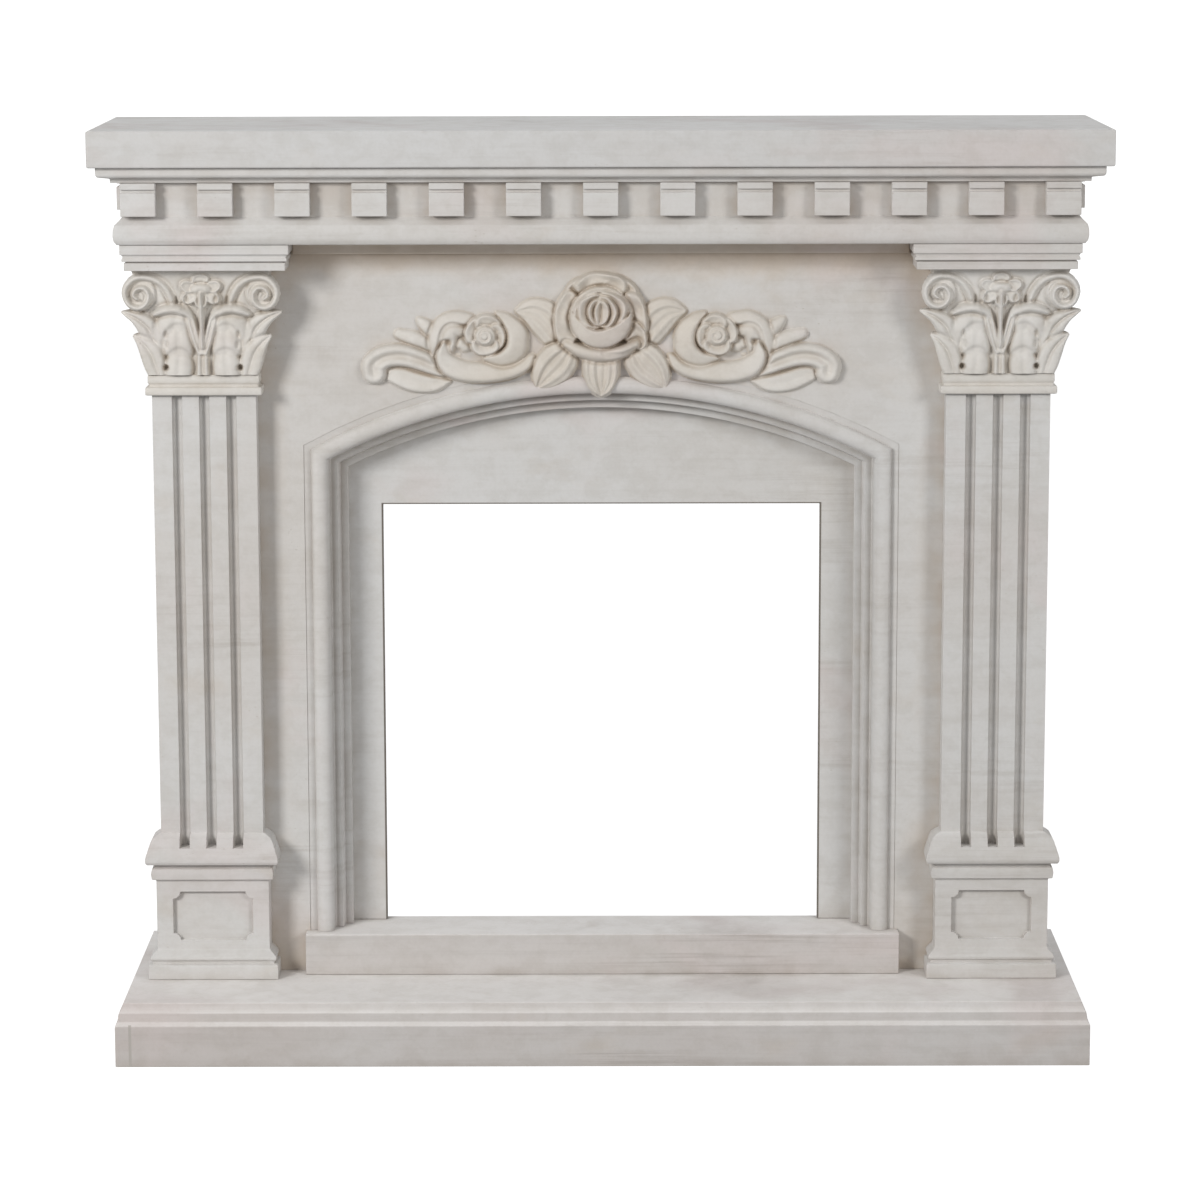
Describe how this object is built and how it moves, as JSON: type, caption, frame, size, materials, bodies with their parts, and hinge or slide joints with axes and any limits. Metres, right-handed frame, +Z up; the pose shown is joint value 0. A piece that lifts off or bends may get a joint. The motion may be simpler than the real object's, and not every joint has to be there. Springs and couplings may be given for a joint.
{
  "type": "fireplace mantel",
  "caption": "Fireplace mantel with a dentil cornice on fluted pilasters, an arched beaded surround under a carved rose spray, and a stepped hearth.",
  "frame": {"origin": "middle of the footprint, on the floor", "axes": "+X across the front to the viewer's right, +Y back towards the wall, +Z up; the front faces -Y"},
  "size_m": [1.32, 0.4, 1.22],
  "materials": {
    "washed_stone": "limewashed stone effect on board and mouldings, matt, faint brushed streaks",
    "glazed_carving": "cast carving, limewashed, with a beige glaze left in the recesses",
    "inner_board": "limewashed board, matt",
    "hearth_stone": "limewashed stone effect, matt"
  },
  "bodies": {
    "root": {"shelf": "washed_stone", "bed_moulding": "washed_stone", "frieze": "washed_stone", "dentil_01": "washed_stone", "dentil_02": "washed_stone", "dentil_03": "washed_stone", "dentil_04": "washed_stone", "dentil_05": "washed_stone", "dentil_06": "washed_stone", "dentil_07": "washed_stone", "dentil_08": "washed_stone", "dentil_09": "washed_stone", "dentil_10": "washed_stone", "dentil_11": "washed_stone", "dentil_12": "washed_stone", "dentil_13": "washed_stone", "dentil_left_1": "washed_stone", "dentil_left_2": "washed_stone", "dentil_right_1": "washed_stone", "dentil_right_2": "washed_stone", "architrave": "washed_stone", "panel_cornice": "washed_stone", "impost_left": "washed_stone", "impost_right": "washed_stone", "capital_left": "glazed_carving", "capital_right": "glazed_carving", "shaft_left": "washed_stone", "shaft_right": "washed_stone", "pedestal_left": "washed_stone", "pedestal_right": "washed_stone", "rose_spray": "glazed_carving", "face_panel": "washed_stone", "arch_moulding": "washed_stone", "inner_panel": "inner_board", "side_panel_left": "washed_stone", "side_panel_right": "washed_stone", "hearth_step": "hearth_stone", "hearth_slab": "hearth_stone"}
  },
  "joints": []
}
